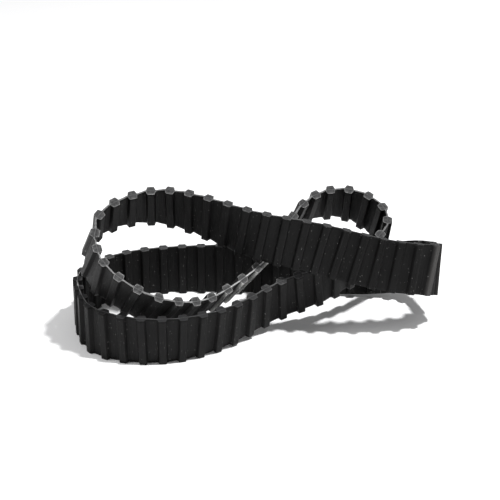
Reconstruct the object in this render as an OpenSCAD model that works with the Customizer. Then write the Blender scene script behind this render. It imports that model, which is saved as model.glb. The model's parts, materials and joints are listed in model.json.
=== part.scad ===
// Double-sided synchronous belt, endless, lying loosely looped on its edge.
// One rubber loop with trapezoidal teeth back to back on both faces, built in
// five bonded layers: fabric, rubber, tension cords, rubber, fabric.
// Millimetres, +Z up, the lowest edge at z = 0 and the box centred on x = y = 0.

/* [Belt] */
// Number of teeth on each face
teeth = 85; // [84:1:86]
// Distance from tooth to tooth along the pitch line
pitch = 9.525; // [9.45:0.005:9.6]
// Width of the belt across the teeth
belt_w = 25.4; // [19:0.1:25.4]

/* [Teeth] */
// Height of a tooth above the land
tooth_h = 1.91; // [1.5:0.01:1.95]
// Width of a tooth where it leaves the land
tooth_base = 4.65; // [4.2:0.05:4.8]
// Angle of a tooth flank from square
flank_angle = 20; // [10:1:25]

/* [Layers] */
// Thickness of the belt between two teeth
land_t = 0.76; // [0.7:0.02:0.9]
// Thickness of the tension cord layer on the pitch line
cord_t = 0.36; // [0.3:0.02:0.4]
// Thickness of the woven nylon facing
fabric_t = 0.1; // [0.08:0.01:0.12]

/* [Flexing lands] */
// Gap in the layers at each land that flexes
flex_gap = 0.3; // [0.2:0.05:0.6]

/* [Hidden] */
// Layer boundaries, measured from the pitch line
n_cord = cord_t / 2;
n_land = land_t / 2;
n_crest = n_land + tooth_h;
n_under_land = n_land - fabric_t;
n_under_crest = n_crest - fabric_t;
// Half widths of a tooth, at the fabric's face and under the fabric
half_base = tooth_base / 2;
half_tip = half_base - tooth_h * tan(flank_angle);
half_base_under = half_base - 0.7 * fabric_t;
half_tip_under = half_tip - 0.7 * fabric_t;
// How far a layer is cut back from the middle of a flexing land
cut = flex_gap / 2;

// The route of the belt, in stretches from the right-hand end. Each point is
// x, y, the height of the lower edge and the lean of the width in degrees,
// and controls a closed cubic B-spline.
upper_strand = [
    [85, -10, 20, 10],
    [60, -15, 25, 15],
    [30, -15, 35, 5],
    [0, -15, 40, 0],
    [-20, -5, 45, -10]
];
upper_turn = [
    [-45, 5, 50, -25],
    [-65, 0, 50, -35],
    [-80, -10, 45, -30],
    [-80, -25, 30, -5],
    [-70, -35, 25, 25]
];
inner_strand = [
    [-50, -40, 15, 35],
    [-30, -30, 10, 45],
    [-10, -15, 15, 40],
    [5, 5, 20, 40]
];
ring = [
    [15, 25, 30, 30],
    [30, 40, 35, 35],
    [50, 40, 35, 30],
    [65, 30, 25, 5],
    [65, 15, 20, -15],
    [50, 5, 15, -25]
];
leg = [
    [35, -5, 10, -20],
    [10, -10, 5, -15],
    [-10, -30, 0, -15]
];
front_strand = [
    [-35, -45, 0, -10],
    [-60, -45, 0, -5]
];
left_turn = [
    [-80, -35, 0, 0],
    [-85, -20, 0, 0],
    [-90, 0, 0, 0],
    [-80, 15, 0, 0],
    [-65, 25, 0, 0]
];
back_strand = [
    [-45, 30, 0, 0],
    [-10, 30, 0, -10],
    [35, 30, 0, -25],
    [60, 30, 0, -35]
];
right_turn = [
    [75, 25, 5, -20],
    [85, 15, 10, -15],
    [90, 0, 15, -5]
];
// Distance along the pitch line from the route's start to the first tooth
first_tooth = -4;

// Teeth of the right-hand turn, which flexes in three rigid lengths. A tooth
// number past the last one carries on round the loop.
back_link = [80, 81];
turn_link = [82, 85];
front_link = [86, 88];
// The rest of the belt, cut at lands into lengths of rubber
lengths = [
    ["upper", 4, 20],
    ["inner", 21, 35],
    ["ring", 36, 45],
    ["front", 46, 56],
    ["left", 57, 66],
    ["back", 67, 79]
];
length_names = [for (part = lengths) part[0]];
rest_of_belt = [lengths[0][1], lengths[5][2]];

layer_names = [
    "outer_fabric",
    "outer_rubber",
    "tension_cords",
    "inner_rubber",
    "inner_fabric"
];
link_names = ["front", "turn", "back"];

fabric_colour = [0.17, 0.17, 0.18];
rubber_colour = [0.24, 0.24, 0.25];
cord_colour = [0.85, 0.85, 0.82];

// ---- Route: a closed cubic B-spline, brought to the belt's true length ----

route = concat(upper_strand, upper_turn, inner_strand, ring, leg,
    front_strand, left_turn, back_strand, right_turn);
spans = len(route);
samples = 16;
half_w = belt_w / 2;

// A control point as x, y, height at mid width and lean. Where the lean would
// push a tooth's corner into the table, the belt is lifted by that much.
function control(i) =
    let (p = route[(i + spans) % spans])
    let (foot = max(p[2], n_crest * abs(sin(p[3]))))
    [p[0], p[1], foot + half_w * cos(p[3]), p[3]];

// The spline at part t of span k
function spline(k, t) = (
    pow(1 - t, 3) * control(k - 1)
    + (3 * pow(t, 3) - 6 * pow(t, 2) + 4) * control(k)
    + (1 + 3 * t + 3 * pow(t, 2) - 3 * pow(t, 3)) * control(k + 1)
    + pow(t, 3) * control(k + 2)
) / 6;

curve = [for (k = [0 : spans - 1], j = [0 : samples - 1]) spline(k, j / samples)];
curve_count = len(curve);

function place(i) =
    let (p = curve[i % curve_count])
    [p[0], p[1], p[2]];

function gap(i) = norm(place(i + 1) - place(i));

// Distance run from the start of the curve to each of its points
run = [for (i = 0, s = 0; i <= curve_count; s = s + gap(i), i = i + 1) s];
belt_length = teeth * pitch;
to_length = belt_length / run[curve_count];

function column(c) = [for (i = [0 : curve_count]) [run[i], curve[i % curve_count][c]]];

x_along = column(0);
y_along = column(1);
z_along = column(2);
lean_along = column(3);

function wrapped(s) = (s + 2 * belt_length) % belt_length / to_length;

function middle(s) =
    let (u = wrapped(s))
    to_length * [lookup(u, x_along), lookup(u, y_along), lookup(u, z_along)];

function unit(v) = v / norm(v);

// Where the belt is at distance s, as origin, along, outwards and across:
// across points from the lower edge to the upper one.
function frame(s) =
    let (along = unit(middle(s + pitch / 2) - middle(s - pitch / 2)))
    let (upright = unit([0, 0, 1] - along[2] * along))
    let (lean = lookup(wrapped(s), lean_along))
    let (across = cos(lean) * upright + sin(lean) * cross(along, upright))
    [middle(s), along, cross(across, along), across];

tooth_frames = [for (i = [0 : teeth - 1]) frame(first_tooth + i * pitch)];
land_frames = [for (i = [0 : teeth - 1]) frame(first_tooth + (i + 0.5) * pitch)];

// ---- Layers: five surfaces met by stations across the belt ----

// A surface is a kind and the side of the pitch line that it is on
on_cords = 0;
under_fabric = 1;
on_fabric = 2;

function height(kind, tip) =
    kind == on_cords ? n_cord
    : kind == under_fabric ? (tip ? n_under_crest : n_under_land)
    : (tip ? n_crest : n_land);

function reach(kind, tip) =
    kind == on_fabric ? (tip ? half_tip : half_base)
    : (tip ? half_tip_under : half_base_under);

// A station is a frame, a direction along the belt (0 at a land), whether it
// is at a tooth's tip, and a shift along the belt.
function tooth_stations(i, with_tips) =
    let (f = tooth_frames[i % teeth])
    with_tips
    ? [[f, -1, false, 0], [f, -1, true, 0], [f, 1, true, 0], [f, 1, false, 0]]
    : [[f, -1, false, 0], [f, 1, false, 0]];

function land_station(i, shift) = [land_frames[(i + teeth) % teeth], 0, false, shift];

// Stations from tooth a to tooth b, with a cut land before and after them
function stations(a, b, with_tips, start_shift, end_shift) = [
    land_station(a - 1, start_shift),
    for (i = [a : b], s = concat(
        tooth_stations(i, with_tips),
        [land_station(i, i == b ? end_shift : 0)]
    )) s
];

function corner(station, surface, edge) =
    let (f = station[0])
    let (n = surface[1] * height(surface[0], station[2]))
    let (a = station[1] * reach(surface[0], station[2]) + station[3])
    f[0] + a * f[1] + n * f[2] + edge * half_w * f[3];

// Every corner of the belt's faces, to set its box on the table
face_corners = [
    for (s = stations(0, teeth - 1, true, 0, 0), side = [-1, 1], edge = [-1, 1])
    corner(s, [on_fabric, side], edge)
];

function low(c) = min([for (p = face_corners) p[c]]);
function high(c) = max([for (p = face_corners) p[c]]);

to_box = -[(low(0) + high(0)) / 2, (low(1) + high(1)) / 2, low(2)];

// A layer between two surfaces, the first nearer the inner face of the belt
module layer(station_list, lower, upper) {
    count = len(station_list);
    corners = [
        for (s = station_list)
        for (c = [[lower, -1], [upper, -1], [upper, 1], [lower, 1]])
        corner(s, c[0], c[1])
    ];
    sides = [
        for (k = [0 : 4 : 4 * (count - 2)])
        for (t = [
            [1, 0, 4], [1, 4, 5], [2, 1, 5], [2, 5, 6],
            [3, 2, 6], [3, 6, 7], [0, 3, 4], [3, 7, 4]
        ])
        [k + t[0], k + t[1], k + t[2]]
    ];
    last = 4 * (count - 1);
    start_cap = [[0, 1, 2], [0, 2, 3]];
    end_cap = [[last + 2, last + 1, last], [last + 3, last + 2, last]];
    translate(to_box)
        polyhedron(points = corners, faces = concat(start_cap, sides, end_cap));
}

// A layer by name over teeth a to b, its ends cut back from the cut lands
module named_layer(name, a, b, start_cut, end_cut) {
    with_tips = stations(a, b, true, start_cut, -end_cut);
    without_tips = stations(a, b, false, start_cut, -end_cut);
    if (name == "outer_fabric")
        color(fabric_colour) layer(with_tips, [under_fabric, 1], [on_fabric, 1]);
    if (name == "outer_rubber")
        color(rubber_colour) layer(with_tips, [on_cords, 1], [under_fabric, 1]);
    if (name == "tension_cords")
        color(cord_colour) layer(without_tips, [on_cords, -1], [on_cords, 1]);
    if (name == "inner_rubber")
        color(rubber_colour) layer(with_tips, [under_fabric, -1], [on_cords, -1]);
    if (name == "inner_fabric")
        color(fabric_colour) layer(with_tips, [on_fabric, -1], [under_fabric, -1]);
}

// ---- The belt that stays still: whole facings and cords, rubber in lengths ----

module outer_fabric() {
    named_layer("outer_fabric", rest_of_belt[0], rest_of_belt[1], cut, cut);
}

module inner_fabric() {
    named_layer("inner_fabric", rest_of_belt[0], rest_of_belt[1], cut, cut);
}

module tension_cords() {
    named_layer("tension_cords", rest_of_belt[0], rest_of_belt[1], cut, cut);
}

// A length of rubber on one side; only the belt's own two ends are cut back
module rubber_length(name, part) {
    start_cut = part[1] == rest_of_belt[0] ? cut : 0;
    end_cut = part[2] == rest_of_belt[1] ? cut : 0;
    named_layer(name, part[1], part[2], start_cut, end_cut);
}

// ---- The right-hand turn: three lengths that flex at their cut lands ----

module link_layer(name, link) {
    named_layer(name, link[0], link[1], cut, cut);
}

// ---- Nodes ----

outer_fabric();
inner_fabric();
tension_cords();
for (part = lengths) {
    rubber_length("outer_rubber", part);
    rubber_length("inner_rubber", part);
}
for (name = layer_names) {
    link_layer(name, front_link);
    link_layer(name, turn_link);
    link_layer(name, back_link);
}
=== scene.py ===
"""Double-sided timing belt lying loosely looped: detailed layers, materials and studio.

The route and the tooth section repeat part.scad's dimensions in millimetres, and
every point is turned into metres when its mesh is made.
"""

import json
import math

import bpy
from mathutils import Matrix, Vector, noise


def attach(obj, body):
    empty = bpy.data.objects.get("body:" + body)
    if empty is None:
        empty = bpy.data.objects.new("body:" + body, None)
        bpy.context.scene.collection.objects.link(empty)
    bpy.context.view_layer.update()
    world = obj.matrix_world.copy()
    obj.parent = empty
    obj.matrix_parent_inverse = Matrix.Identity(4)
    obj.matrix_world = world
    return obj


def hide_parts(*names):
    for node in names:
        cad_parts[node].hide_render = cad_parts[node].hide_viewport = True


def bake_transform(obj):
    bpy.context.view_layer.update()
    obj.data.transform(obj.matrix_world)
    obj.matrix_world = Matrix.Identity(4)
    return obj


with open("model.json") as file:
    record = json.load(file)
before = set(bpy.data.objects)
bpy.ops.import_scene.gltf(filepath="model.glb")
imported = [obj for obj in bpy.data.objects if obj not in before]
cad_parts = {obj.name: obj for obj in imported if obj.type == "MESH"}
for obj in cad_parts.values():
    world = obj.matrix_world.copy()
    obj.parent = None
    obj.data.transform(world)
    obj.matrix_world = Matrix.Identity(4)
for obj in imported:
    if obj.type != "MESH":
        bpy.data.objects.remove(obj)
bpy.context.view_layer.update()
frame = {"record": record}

MM = 0.001

# ---- Driving dimensions, in millimetres ----

TEETH = 85
PITCH = 9.525
HALF_WIDTH = 12.7
TOOTH_HEIGHT = 1.91
HALF_BASE = 2.325
FLANK = math.radians(20)
HALF_TIP = HALF_BASE - TOOTH_HEIGHT * math.tan(FLANK)
HALF_LAND = 0.38
CREST = HALF_LAND + TOOTH_HEIGHT
HALF_CORD = 0.18
FABRIC = 0.1
# Rounding of the facing where a flank meets the crest and the land
TIP_RADIUS = 0.42
ROOT_RADIUS = 0.3
# Distance along the pitch line from the route's start to the first tooth
FIRST_TOOTH = -4
# Half the slit in the land that no hinge spans
OPEN_LAND = 0.08

# The route in stretches from the right-hand end: x, y, height of the lower
# edge and lean of the width in degrees, each controlling a cubic B-spline.
UPPER_STRAND = [
    (85, -10, 20, 10), (60, -15, 25, 15), (30, -15, 35, 5), (0, -15, 40, 0),
    (-20, -5, 45, -10),
]
UPPER_TURN = [
    (-45, 5, 50, -25), (-65, 0, 50, -35), (-80, -10, 45, -30), (-80, -25, 30, -5),
    (-70, -35, 25, 25),
]
INNER_STRAND = [
    (-50, -40, 15, 35), (-30, -30, 10, 45), (-10, -15, 15, 40), (5, 5, 20, 40),
]
RING = [
    (15, 25, 30, 30), (30, 40, 35, 35), (50, 40, 35, 30), (65, 30, 25, 5),
    (65, 15, 20, -15), (50, 5, 15, -25),
]
LEG = [(35, -5, 10, -20), (10, -10, 5, -15), (-10, -30, 0, -15)]
FRONT_STRAND = [(-35, -45, 0, -10), (-60, -45, 0, -5)]
LEFT_TURN = [
    (-80, -35, 0, 0), (-85, -20, 0, 0), (-90, 0, 0, 0), (-80, 15, 0, 0),
    (-65, 25, 0, 0),
]
BACK_STRAND = [(-45, 30, 0, 0), (-10, 30, 0, -10), (35, 30, 0, -25), (60, 30, 0, -35)]
RIGHT_TURN = [(75, 25, 5, -20), (85, 15, 10, -15), (90, 0, 15, -5)]
ROUTE = (UPPER_STRAND + UPPER_TURN + INNER_STRAND + RING + LEG
         + FRONT_STRAND + LEFT_TURN + BACK_STRAND + RIGHT_TURN)

# Where each body's layers run, counted in teeth from tooth 0's middle. A number
# past the last tooth carries on round the loop.
BODY_SPANS = {
    "belt": (4, 79.5 - OPEN_LAND / PITCH),
    "back_length": (79.5 + OPEN_LAND / PITCH, 81),
    "turn_length": (82, 85),
    "front_length": (86, 88),
}
# The lands that bend, each from the middle of one tooth to the next
FLEX_SPANS = {
    ("back_length", "turn_length"): (81, 82),
    ("turn_length", "front_length"): (85, 86),
    ("front_length", "belt"): (88, 89),
}

# Tones along the belt's length, between the teeth listed: the tone of its cut
# edges, the brightness of the cords bared there, a near-white painted glint, partly wear,
# on the inner teeth's tip corners, and a painted highlight on the outer face's crests.
TONES_ALONG_BELT = [
    (0, 0.25, 0.05, 0.0, 0.8),
    (0.3, 0.25, 0.05, 0.0, 0.2),
    (1, 0.25, 0.05, 0.0, 0.0),
    (9, 0.50, 0.10, 0.0, 0.0),
    (14, 0.80, 0.15, 0.0, 0.0),
    (19, 0.90, 0.30, 0.0, 0.0),
    (24, 1.00, 0.45, 0.0, 0.0),
    (27, 1.00, 0.70, 0.1, 0.0),
    (28, 1.00, 1.00, 1.0, 0.0),
    (30, 1.00, 1.00, 1.0, 0.0),
    (32, 0.90, 0.80, 0.3, 0.0),
    (34, 0.85, 0.35, 0.0, 0.0),
    (43, 0.80, 0.20, 0.0, 0.0),
    (48, 0.40, 0.10, 0.0, 0.0),
    (52, 0.06, 0.02, 0.0, 0.0),
    (59, 0.06, 0.05, 0.0, 0.0),
    (62, 0.40, 0.90, 0.0, 0.0),
    (64, 0.55, 0.30, 0.0, 0.0),
    (72, 0.45, 0.10, 0.0, 0.0),
    (80, 0.35, 0.10, 0.0, 0.0),
    (84, 0.30, 0.10, 0.0, 0.2),
    (85, 0.25, 0.05, 0.0, 0.8),
]


def tones_along_belt(tooth, a):
    """Edge tone, cord brightness, painted tip glint with some wear, and painted crest
    highlight at a place on the belt.
    """
    place = (tooth + a / PITCH) % TEETH
    for before, after in zip(TONES_ALONG_BELT, TONES_ALONG_BELT[1:]):
        if place <= after[0]:
            part = (place - before[0]) / (after[0] - before[0])
            return [u + (v - u) * part for u, v in zip(before[1:], after[1:])]
    return TONES_ALONG_BELT[-1][1:]


# ---- The route: a closed B-spline brought to the belt's true length ----

def control(i):
    """A control point of the belt's middle: its place, and its lean as w."""
    x, y, foot, lean = ROUTE[i % len(ROUTE)]
    angle = math.radians(lean)
    lifted = max(foot, CREST * abs(math.sin(angle)))
    return Vector((x, y, lifted + HALF_WIDTH * math.cos(angle), lean))


def spline(k, t):
    """A cubic B-spline's value at part t of its stretch k."""
    return (control(k - 1) * (1 - t) ** 3
            + control(k) * (3 * t ** 3 - 6 * t ** 2 + 4)
            + control(k + 1) * (1 + 3 * t + 3 * t ** 2 - 3 * t ** 3)
            + control(k + 2) * t ** 3) / 6


# Points worked out on each stretch of the spline, and the run up to each one
SAMPLES = 16
CURVE = [spline(k, j / SAMPLES) for k in range(len(ROUTE)) for j in range(SAMPLES)]
CURVE.append(CURVE[0])
RUN = [0.0]
for here, ahead in zip(CURVE, CURVE[1:]):
    RUN.append(RUN[-1] + (ahead.xyz - here.xyz).length)
BELT_LENGTH = TEETH * PITCH
TO_LENGTH = BELT_LENGTH / RUN[-1]


def along_route(s):
    """The spline's values at distance s along the belt."""
    u = (s % BELT_LENGTH) / TO_LENGTH
    low, high = 0, len(RUN) - 1
    while high - low > 1:
        middle = (low + high) // 2
        if RUN[middle] <= u:
            low = middle
        else:
            high = middle
    part = (u - RUN[low]) / (RUN[high] - RUN[low])
    return CURVE[low].lerp(CURVE[high], part)


def middle_point(s):
    """The middle of the belt's width and thickness at distance s."""
    return along_route(s).xyz * TO_LENGTH


def belt_frame(s):
    """Origin, along, outwards and across at distance s."""
    along = (middle_point(s + PITCH / 2) - middle_point(s - PITCH / 2)).normalized()
    upright = (Vector((0, 0, 1)) - along * along.z).normalized()
    lean = math.radians(along_route(s).w)
    across = upright * math.cos(lean) + along.cross(upright) * math.sin(lean)
    return middle_point(s), along, across.cross(along), across


TOOTH_FRAMES = [belt_frame(FIRST_TOOTH + i * PITCH) for i in range(TEETH)]


def frame_point(f, a, n, w):
    """A point a along, n outwards and w across in a belt frame."""
    return f[0] + f[1] * a + f[2] * n + f[3] * w


def smooth_step(t):
    """A rise from 0 to 1 that starts and ends level."""
    t = min(max(t, 0.0), 1.0)
    return t * t * (3 - 2 * t)


def belt_point(tooth, a, n, w):
    """A point a along from a tooth's middle, n outwards and w across: rigid in
    the tooth, and turning smoothly over half of each land."""
    f = TOOTH_FRAMES[tooth % TEETH]
    rigid = frame_point(f, a, n, w)
    turn = (abs(a) - HALF_BASE) / (PITCH / 2 - HALF_BASE)
    if turn <= 0:
        return rigid
    free = frame_point(belt_frame(FIRST_TOOTH + tooth * PITCH + a), 0, n, w)
    return rigid.lerp(free, smooth_step(turn))


def box_shift():
    """The move that sets the belt's box on the table, as part.scad makes it."""
    section = [
        (-HALF_BASE, HALF_LAND), (-HALF_TIP, CREST), (HALF_TIP, CREST), (HALF_BASE, HALF_LAND),
    ]
    corners = []
    for f in TOOTH_FRAMES:
        for side in (-1, 1):
            for w in (-HALF_WIDTH, HALF_WIDTH):
                corners += [frame_point(f, a, side * n, w) for a, n in section]
    low = [min(p[c] for p in corners) for c in range(3)]
    high = [max(p[c] for p in corners) for c in range(3)]
    return Vector((-(low[0] + high[0]) / 2, -(low[1] + high[1]) / 2, -low[2]))


SHIFT = box_shift()


def to_metres(p):
    """A point of the route, in millimetres, as a place in the scene."""
    return (p + SHIFT) * MM


# ---- Camera ----

# The point that the camera looks at, its angle above the table and its distance
# from that point in metres
TARGET = to_metres(Vector((-3, 36, 20)))
CAMERA_HEIGHT = math.radians(26.94)
CAMERA_DISTANCE = 0.909
SENSOR_MM = 36
LENS_MM = 128.3


def make_camera():
    """The camera, in front of the belt and looking down on it."""
    data = bpy.data.cameras.new("camera")
    data.sensor_width = SENSOR_MM
    data.lens = LENS_MM
    data.clip_start = 0.01
    camera = bpy.data.objects.new("camera", data)
    bpy.context.scene.collection.objects.link(camera)
    back = Vector((0, -math.cos(CAMERA_HEIGHT), math.sin(CAMERA_HEIGHT)))
    camera.location = TARGET + back * CAMERA_DISTANCE
    camera.rotation_euler = (math.pi / 2 - CAMERA_HEIGHT, 0, 0)
    bpy.context.scene.camera = camera
    bpy.context.scene.view_settings.view_transform = "Standard"


# ---- Meshes ----

def new_object(name, vertices, faces, material, smooth=True):
    """A mesh object in the scene, with one material."""
    mesh = bpy.data.meshes.new(name)
    mesh.from_pydata(vertices, [], faces)
    mesh.validate()
    mesh.materials.append(material)
    for polygon in mesh.polygons:
        polygon.use_smooth = smooth
    piece = bpy.data.objects.new(name, mesh)
    bpy.context.scene.collection.objects.link(piece)
    return piece


# ---- Materials ----

# The facing's patterns, in repeats per millimetre along and across the belt
RIBS = (1.9, 0.05)
THREADS = (7.0, 0.9)
PATCHES = (0.05, 0.06)
DUST = (1.5, 1.5)
WEAVE = (2.0, 0.35)

# Linear colours
FADED_NYLON = (0.009, 0.0087, 0.0088)
DUST_GREY = (0.35, 0.35, 0.34)
# Painted highlight for the lit crests at the belt's right-hand end
CREST_HIGHLIGHT_GREY = (0.080, 0.077, 0.075)
# Near-white: a painted glint, partly worn-through threads, on inner tip corners
WORN_GLINT_WHITE = (0.90, 0.90, 0.88)
# The cut edges' colour where their tone is lowest, as from tooth 52 to 59
DARK_EDGE_RUBBER = (0.012, 0.012, 0.013)
BURIED_CORD = (0.02, 0.02, 0.021)
FLOOR_WHITE = (0.92, 0.92, 0.925)

# Patterns of the cut edges and cords, in repeats per metre
GRAIN_SCALE = 900.0
FIBRE_SCALE = 3600.0
STAIN_SCALE = 260.0
TWIST_SCALE = 900.0


class Nodes:
    """A small helper that builds one node material."""

    def __init__(self, name):
        self.material = bpy.data.materials.new(name)
        self.material.use_nodes = True
        self.tree = self.material.node_tree
        self.shader = self.tree.nodes["Principled BSDF"]

    def add(self, kind, **values):
        node = self.tree.nodes.new(kind)
        for key, value in values.items():
            if key in node.inputs:
                node.inputs[key].default_value = value
            else:
                setattr(node, key, value)
        return node

    def link(self, source, target):
        self.tree.links.new(source, target)

    def math(self, operation, a, b):
        """The sum or product of two values, each a number or a socket."""
        node = self.tree.nodes.new("ShaderNodeMath")
        node.operation = operation
        for socket, value in zip(node.inputs, (a, b)):
            if isinstance(value, (int, float)):
                socket.default_value = value
            else:
                self.link(value, socket)
        return node.outputs[0]

    def ramp(self, source, stops):
        """Greys that follow a value, from (place, grey) stops."""
        node = self.tree.nodes.new("ShaderNodeValToRGB")
        ramp = node.color_ramp
        while len(ramp.elements) < len(stops):
            ramp.elements.new(0.5)
        for element, (place, grey) in zip(ramp.elements, stops):
            element.position = place
            element.color = (grey, grey, grey, 1)
        self.link(source, node.inputs[0])
        return node.outputs[0]

    def mix(self, factor, a, b):
        """A colour between a and b, each a colour or a socket."""
        node = self.tree.nodes.new("ShaderNodeMix")
        node.data_type = "RGBA"
        for index, value in ((0, factor), (6, a), (7, b)):
            if isinstance(value, tuple):
                node.inputs[index].default_value = (*value, 1)
            else:
                self.link(value, node.inputs[index])
        return node.outputs[2]

    def noise(self, vector, detail, roughness, scale=1.0):
        """Cloudy values from 0 to 1."""
        node = self.add("ShaderNodeTexNoise", Scale=scale, Detail=detail, Roughness=roughness)
        self.link(vector, node.inputs["Vector"])
        return node.outputs["Fac"]

    def attribute(self, name):
        """A value that add_values has put on the mesh."""
        node = self.add("ShaderNodeAttribute", attribute_name=name)
        return node.outputs["Fac"]

    def bump(self, height, strength, distance):
        """Relief, with its distance in metres."""
        node = self.add("ShaderNodeBump", Strength=strength, Distance=distance)
        self.link(height, node.inputs["Height"])
        self.link(node.outputs["Normal"], self.shader.inputs["Normal"])


def belt_map(nodes, repeats):
    """The belt's own map, in millimetres along and across, scaled for a pattern."""
    uv = nodes.add("ShaderNodeUVMap", uv_map="belt")
    mapping = nodes.add("ShaderNodeMapping")
    mapping.inputs["Scale"].default_value = (*repeats, 1)
    nodes.link(uv.outputs[0], mapping.inputs[0])
    return mapping.outputs[0]


def facing_material(name):
    """Black woven nylon: ribs across the belt, a fine weave and dust, a painted highlight on
    some outer crests, and a near-white painted glint, partly wear, on some inner tip corners.
    """
    nodes = Nodes(name)
    ribs = nodes.noise(belt_map(nodes, RIBS), detail=4.0, roughness=0.6)
    threads = nodes.noise(belt_map(nodes, THREADS), detail=2.0, roughness=0.5)
    patches = nodes.noise(belt_map(nodes, PATCHES), detail=3.0, roughness=0.6)
    dust = nodes.noise(belt_map(nodes, DUST), detail=1.0, roughness=0.5)
    base = nodes.ramp(ribs, [(0.3, 0.0015), (0.62, 0.005), (0.78, 0.022)])
    faded = nodes.mix(nodes.ramp(patches, [(0.35, 0.0), (0.75, 0.55)]), base, FADED_NYLON)
    dusty = nodes.mix(nodes.ramp(dust, [(0.74, 0.0), (0.78, 0.9)]), faded, DUST_GREY)
    # A painted highlight on the outer crests near tooth 0, the lit right-hand end
    crest_highlight_mask = nodes.math("MULTIPLY", nodes.attribute("painted_crest_highlight"), 0.8)
    painted_crest_highlight = nodes.mix(crest_highlight_mask, dusty, CREST_HIGHLIGHT_GREY)
    # A near-white painted glint, partly wear, on inner tip corners, broken up by the threads
    thread_breakup = nodes.ramp(threads, [(0.3, 0.45), (0.6, 1.0)])
    wear_and_glint = nodes.math("MULTIPLY", nodes.attribute("wear_and_glint"), thread_breakup)
    nodes.link(nodes.mix(wear_and_glint, painted_crest_highlight, WORN_GLINT_WHITE), nodes.shader.inputs["Base Color"])
    rough = nodes.ramp(threads, [(0.3, 0.42), (0.7, 0.62)])
    nodes.link(rough, nodes.shader.inputs["Roughness"])
    nodes.shader.inputs["Specular IOR Level"].default_value = 0.13
    weave = nodes.add("ShaderNodeTexWave", Scale=1.0, Distortion=1.2)
    weave.inputs["Detail Scale"].default_value = 2.0
    nodes.link(belt_map(nodes, WEAVE), weave.inputs["Vector"])
    thread_height = nodes.math("MULTIPLY", threads, 0.6)
    weave_height = nodes.math("MULTIPLY", weave.outputs["Fac"], 0.25)
    woven = nodes.math("ADD", thread_height, weave_height)
    nodes.bump(nodes.math("ADD", woven, ribs), strength=0.5, distance=0.00012)
    return nodes.material


def edge_material(name, dark, light):
    """Ground grey cut rubber with fibre ends and dust."""
    nodes = Nodes(name)
    place = nodes.add("ShaderNodeTexCoord").outputs["Object"]
    grain = nodes.noise(place, detail=5.0, roughness=0.65, scale=GRAIN_SCALE)
    fibres = nodes.noise(place, detail=3.0, roughness=0.6, scale=FIBRE_SCALE)
    base = nodes.ramp(grain, [(0.32, dark), (0.68, light)])
    # Darker towards the lowest tone where the tone along the belt is low
    toned = nodes.mix(nodes.attribute("tone"), DARK_EDGE_RUBBER, base)
    nodes.link(toned, nodes.shader.inputs["Base Color"])
    nodes.shader.inputs["Roughness"].default_value = 0.75
    nodes.shader.inputs["Specular IOR Level"].default_value = 0.3
    relief = nodes.math("ADD", grain, nodes.math("MULTIPLY", fibres, 0.5))
    nodes.bump(relief, strength=0.8, distance=0.0002)
    return nodes.material


def cord_material(name, dark, light):
    """Pale twisted glass yarn, greyed with rubber dust."""
    nodes = Nodes(name)
    place = nodes.add("ShaderNodeTexCoord").outputs["Object"]
    stain = nodes.noise(place, detail=3.0, roughness=0.6, scale=STAIN_SCALE)
    twist = nodes.add("ShaderNodeTexWave", Scale=TWIST_SCALE, Distortion=2.0)
    nodes.link(place, twist.inputs["Vector"])
    base = nodes.ramp(stain, [(0.35, dark), (0.7, light)])
    toned = nodes.mix(nodes.attribute("tone"), BURIED_CORD, base)
    nodes.link(toned, nodes.shader.inputs["Base Color"])
    nodes.shader.inputs["Roughness"].default_value = 0.45
    nodes.bump(twist.outputs["Fac"], strength=0.4, distance=0.0001)
    return nodes.material


# ---- Belt layers ----

# Steps of the detailed faces: along the belt, across it and round an arc
RIB_STEP = 0.27
EDGE_COLUMNS = 20
ARC_STEPS = 4
# How far a flank's ends move towards the middle of the tooth for each
# millimetre that a layer lies below the facing's surface
FLANK_SHIFT = 0.70
# Rows closer than this are one row
SAME_PLACE = 1e-6
# The parts of a tooth that get the painted crest highlight and the painted glint with wear:
# down from its crest, and in from its corners
CREST_BAND = 0.3
TIP_CORNER = 0.45
# The facing's ribs and its broader creases: their heights, and how often they
# repeat along and across the belt
RIB_HEIGHT = 0.028
CREASE_HEIGHT = 0.035
RIB_REPEATS = (1.7, 0.04)
CREASE_REPEATS = (0.45, 0.10)
# The cut edges: how far they are ground back, how much they wander, and how
# often that repeats along the belt and through its thickness
GROUND_BACK = 0.05
SLOW_WANDER = 0.05
FINE_WANDER = 0.03
SLOW_REPEATS = (0.35, 0.4)
FINE_REPEATS = (2.3, 2.0)
# The rubber: how far it lies inside the facing's cut edge, and the steps from
# the cords to the facing
RUBBER_INSET = 0.02
RUBBER_RUNGS = 5
# The cord layer: how far the middle of its rounded edge lies inside the belt's
# true width, its steps to a pitch and round that edge, and the yarn's waver
CORD_INSET = 0.16
CORD_STEPS = 12
CORD_SIDES = 6
CORD_TWIST = 0.02
TWIST_REPEATS = (1.1, 5)


def arc(centre_a, centre_n, radius, start, end):
    """Points round an arc, its angles in degrees."""
    for j in range(ARC_STEPS + 1):
        angle = math.radians(start + (end - start) * j / ARC_STEPS)
        yield centre_a + radius * math.cos(angle), centre_n + radius * math.sin(angle)


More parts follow.
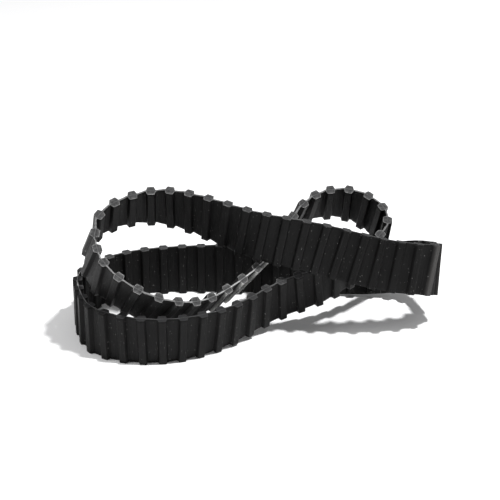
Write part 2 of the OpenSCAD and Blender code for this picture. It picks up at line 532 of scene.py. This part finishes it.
def half_profile(offset):
    """(a, n) from the tooth's middle to the middle of the land, offset inwards
    from the facing's surface, with rounded tip and root."""
    crest = CREST - offset
    land = HALF_LAND - offset
    tip = HALF_TIP - FLANK_SHIFT * offset
    base = HALF_BASE - FLANK_SHIFT * offset
    tip_radius = TIP_RADIUS - offset
    root_radius = ROOT_RADIUS + offset
    lean = math.degrees(FLANK)
    half_turn = math.radians((90 - lean) / 2)
    tip_centre = tip - tip_radius * math.tan(half_turn)
    root_centre = base + root_radius * math.tan(half_turn)
    land_run = PITCH / 2 - root_centre
    steps = max(int(tip_centre / RIB_STEP), 1)
    points = [(tip_centre * j / steps, crest) for j in range(steps)]
    points += arc(tip_centre, crest - tip_radius, tip_radius, 90, lean)
    points += arc(root_centre, land + root_radius, root_radius, 180 + lean, 270)
    steps = int(land_run / RIB_STEP)
    points += [(root_centre + land_run * j / steps, land) for j in range(1, steps)]
    points += [(PITCH / 2 - OPEN_LAND, land), (PITCH / 2, land)]
    return points


def run_to(tooth, a):
    """Distance along the belt from tooth 0 to a place near a tooth."""
    return tooth * PITCH + a


def within(span, rows):
    """The rows (tooth, a, ...) in a span of the belt, without repeated lands."""
    start, end = (PITCH * place for place in span)
    kept = []
    for row in rows:
        s = run_to(*row[:2])
        if not start - SAME_PLACE <= s <= end + SAME_PLACE:
            continue
        if kept and row[0] != kept[-1][0] and s - run_to(*kept[-1][:2]) < SAME_PLACE:
            continue
        kept.append(row)
    return kept


def teeth_in(span):
    """The numbers of the teeth that a span of the belt touches."""
    return range(math.floor(span[0]), math.ceil(span[1]) + 1)


def surface_rows(span, side, offset):
    """Rows (tooth, a, n) of a face along a span of the belt."""
    half = half_profile(offset)
    whole = [(-a, n) for a, n in reversed(half[1:])] + half
    return within(span, [(tooth, a, side * n) for tooth in teeth_in(span) for a, n in whole])


def belt_noise(u, v, repeats, depth):
    """A smooth random value at (u, v) in the layer of noise at a depth."""
    return noise.noise(Vector((u * repeats[0], v * repeats[1], depth)))


def rib(tooth, a, w, side):
    """Height of the facing's ribs and creases, which run across the belt."""
    s = run_to(tooth, a)
    fine = belt_noise(s, w, RIB_REPEATS, side * 9.0)
    broad = belt_noise(s, w, CREASE_REPEATS, side * 17.0)
    return RIB_HEIGHT * fine + CREASE_HEIGHT * broad


def ragged(tooth, a, n, edge):
    """How far a cut edge strays from the belt's true width."""
    s = run_to(tooth, a)
    slow = belt_noise(s, n, SLOW_REPEATS, edge * 31.0)
    fine = belt_noise(s, n, FINE_REPEATS, edge * 57.0)
    return SLOW_WANDER * slow + FINE_WANDER * fine - GROUND_BACK


def add_map(piece, values):
    """The belt's own map on a piece, from a place for each vertex."""
    layer = piece.data.uv_layers.new(name="belt")
    for loop in piece.data.loops:
        layer.data[loop.index].uv = values[loop.vertex_index]


def add_values(piece, name, values):
    """A named value for each vertex, which a material can read."""
    layer = piece.data.attributes.new(name, "FLOAT", "POINT")
    for item, value in zip(layer.data, values):
        item.value = value


def shell_faces(rows, side):
    """The facing's two surfaces, and the cut rims between them. The outer
    surface's vertices come first, row by row, and then the inner one's."""
    across = EDGE_COLUMNS + 1
    layer_size = rows * across
    faces, rims = [], []
    for i in range(rows - 1):
        for j in range(EDGE_COLUMNS):
            p = i * across + j
            quad = (p, p + 1, p + 1 + across, p + across)
            faces.append(quad if side > 0 else quad[::-1])
            back = tuple(v + layer_size for v in quad)
            faces.append(back[::-1] if side > 0 else back)
        for j, turned in ((0, False), (EDGE_COLUMNS, True)):
            p = i * across + j
            quad = (p, p + across, p + across + layer_size, p + layer_size)
            rims.append(quad[::-1] if turned != (side < 0) else quad)
    for i in (0, rows - 1):
        for j in range(EDGE_COLUMNS):
            p = i * across + j
            quad = (p, p + layer_size, p + 1 + layer_size, p + 1)
            rims.append(quad[::-1] if (i > 0) != (side < 0) else quad)
    return faces, rims


def facing(name, span, side, material, rim):
    """The woven facing: a thin shell with ribs, its cut edges a little ragged."""
    outer = surface_rows(span, side, 0.0)
    inner = surface_rows(span, side, FABRIC)
    vertices, places, tones, wear_and_glint_values, crest_highlights = [], [], [], [], []
    for rows, ribbed in ((outer, True), (inner, False)):
        for tooth, a, n in rows:
            # The row's edge tone, a near-white painted glint, partly wear, for inner tip
            # corners, and a painted highlight for outer crests
            tone, _, wear_and_glint, crest_highlight = tones_along_belt(tooth, a)
            on_crest = abs(n) > CREST - CREST_BAND
            at_corner = on_crest and abs(a) > HALF_TIP - TIP_CORNER
            for j in range(EDGE_COLUMNS + 1):
                tones.append(tone)
                wear_and_glint_values.append(wear_and_glint if at_corner and side < 0 else 0.0)
                crest_highlights.append(crest_highlight if on_crest and side > 0 else 0.0)
                w = HALF_WIDTH * (2 * j / EDGE_COLUMNS - 1)
                if j in (0, EDGE_COLUMNS):
                    edge = 1 if j else -1
                    w += edge * ragged(tooth, a, side * CREST, edge)
                lift = side * rib(tooth, a, w, side) if ribbed else 0.0
                vertices.append(to_metres(belt_point(tooth, a, n + lift, w)))
                places.append((run_to(tooth, a), w))
    faces, rims = shell_faces(len(outer), side)
    piece = new_object(name, vertices, faces + rims, material)
    piece.data.materials.append(rim)
    for polygon in piece.data.polygons[len(faces):]:
        polygon.material_index = 1
        polygon.use_smooth = False
    add_map(piece, places)
    add_values(piece, "tone", tones)
    add_values(piece, "wear_and_glint", wear_and_glint_values)
    add_values(piece, "painted_crest_highlight", crest_highlights)
    return piece


def rubber(name, span, side, material):
    """Moulded rubber between the cords and the facing, with ground cut edges."""
    skin = surface_rows(span, side, FABRIC)
    core = side * HALF_CORD
    core_tone, skin_gain = 0.45, 0.75
    vertices, tones = [], []
    for tooth, a, n in skin:
        for edge in (-1, 1):
            for r in range(RUBBER_RUNGS + 1):
                rise = r / RUBBER_RUNGS
                depth = core + (n - core) * rise
                w = edge * (HALF_WIDTH + ragged(tooth, a, depth, edge) - RUBBER_INSET)
                tones.append(tones_along_belt(tooth, a)[0] * (core_tone + skin_gain * rise ** 3))
                vertices.append(to_metres(belt_point(tooth, a, depth, w)))
    ring = 2 * (RUBBER_RUNGS + 1)
    order = list(range(RUBBER_RUNGS + 1)) + list(range(ring - 1, RUBBER_RUNGS, -1))
    faces = []
    for i in range(len(skin) - 1):
        for k in range(ring):
            p, q = order[k], order[(k + 1) % ring]
            quad = (i * ring + p, i * ring + q, (i + 1) * ring + q, (i + 1) * ring + p)
            faces.append(quad if side > 0 else quad[::-1])
    last_row = (len(skin) - 1) * ring
    start = tuple(reversed(order))
    end = tuple(last_row + p for p in order)
    faces += [start, end] if side > 0 else [start[::-1], end[::-1]]
    piece = new_object(name, vertices, faces, material, smooth=False)
    add_values(piece, "tone", tones)
    return piece


def cord_section():
    """The cord layer's outline (w, n), rounded like a cord at both edges."""
    points = []
    for edge, start in ((-1, 90), (1, -90)):
        centre = edge * (HALF_WIDTH - CORD_INSET)
        for j in range(CORD_SIDES + 1):
            angle = math.radians(start + 180 * j / CORD_SIDES)
            points.append((centre + HALF_CORD * math.cos(angle), HALF_CORD * math.sin(angle)))
    return points


def cord_band(name, span, material):
    """The layer of tension cords, whose cut edges are bared at the lands."""
    slit = PITCH / 2 - OPEN_LAND
    steps = [PITCH * (j / CORD_STEPS - 0.5) for j in range(CORD_STEPS + 1)]
    steps = sorted(steps + [-slit, slit])
    stations = within(span, [(tooth, a) for tooth in teeth_in(span) for a in steps])
    section = cord_section()
    at_land = HALF_BASE - 0.3
    bared, covered = 1.0, 0.3
    vertices, tones = [], []
    for tooth, a in stations:
        s = run_to(tooth, a)
        shown = bared if abs(a) > at_land else covered
        for w, n in section:
            tones.append(shown * tones_along_belt(tooth, a)[1])
            twist = CORD_TWIST * belt_noise(s, n, TWIST_REPEATS, w)
            vertices.append(to_metres(belt_point(tooth, a, n, w + twist)))
    ring = len(section)
    faces = []
    for i in range(len(stations) - 1):
        for k in range(ring):
            p, q = i * ring + k, i * ring + (k + 1) % ring
            faces.append((p, q, q + ring, p + ring))
    last_row = (len(stations) - 1) * ring
    faces.append(tuple(reversed(range(ring))))
    faces.append(tuple(last_row + k for k in range(ring)))
    piece = new_object(name, vertices, faces, material)
    add_values(piece, "tone", tones)
    return piece


# ---- Floor and light ----

FLOOR_REACH = 6.0
SURROUNDINGS = 0.40


def make_floor():
    """The pale matt table that the belt lies on."""
    material = Nodes("floor")
    material.shader.inputs["Base Color"].default_value = (*FLOOR_WHITE, 1)
    material.shader.inputs["Roughness"].default_value = 0.9
    material.shader.inputs["Specular IOR Level"].default_value = 0.1
    turns = ((-1, -1), (1, -1), (1, 1), (-1, 1))
    corners = [(FLOOR_REACH * x, FLOOR_REACH * y, 0) for x, y in turns]
    floor = new_object("floor", corners, [(0, 1, 2, 3)], material.material, smooth=False)


def area_light(name, place, aim, size, power):
    """A round white light at a place, turned towards its aim."""
    data = bpy.data.lights.new(name, "AREA")
    data.shape = "DISK"
    data.size = size
    data.energy = power
    light = bpy.data.objects.new(name, data)
    bpy.context.scene.collection.objects.link(light)
    light.location = place
    light.rotation_euler = (Vector(aim) - Vector(place)).to_track_quat("-Z", "Y").to_euler()


def make_lights():
    """A high key light from the front right, a weak fill and pale surroundings."""
    world = bpy.data.worlds.new("studio")
    world.use_nodes = True
    background = world.node_tree.nodes["Background"]
    background.inputs["Color"].default_value = (1, 1, 1, 1)
    background.inputs["Strength"].default_value = SURROUNDINGS
    bpy.context.scene.world = world
    area_light("key", (0.317, -0.15, 0.96), (0, 0, 0), size=0.07, power=12)
    area_light("fill", (-0.50, -0.10, 0.40), (-0.1, 0, 0), size=0.4, power=1.6)


# ---- The belt on its bodies ----

LAYER_KINDS = ("outer_fabric", "outer_rubber", "tension_cords", "inner_rubber", "inner_fabric")


def make_belt():
    """Five layers on each body, and five more in each land that bends."""
    face = facing_material("nylon_facing")
    rim = edge_material("facing_cut_edge", dark=0.16, light=0.48)
    cut = edge_material("cut_rubber", dark=0.006, light=0.13)
    glass = cord_material("glass_cord", dark=0.35, light=0.7)

    def layers(name, span):
        """The layers of a span of the belt, in the order of LAYER_KINDS."""
        return [
            facing(name + "_outer_facing", span, 1, face, rim),
            rubber(name + "_outer_rubber", span, 1, cut),
            cord_band(name + "_cords", span, glass),
            rubber(name + "_inner_rubber", span, -1, cut),
            facing(name + "_inner_facing", span, -1, face, rim),
        ]

    for body, span in BODY_SPANS.items():
        pieces = layers(body, span)
        for piece in pieces:
            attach(piece, body)
        replace_nodes(body, pieces)
    for (before, after), span in FLEX_SPANS.items():
        for piece in layers(before + "_flex", span):
            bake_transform(piece)


def replace_nodes(body, pieces):
    """Each detailed layer stands for the CAD nodes of that layer on its body."""
    members = frame["record"]["behaviour"]["bodies"][body]
    for kind, piece in zip(LAYER_KINDS, pieces):
        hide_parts(*[n for n in members if kind in n])


make_camera()
make_floor()
make_lights()
make_belt()
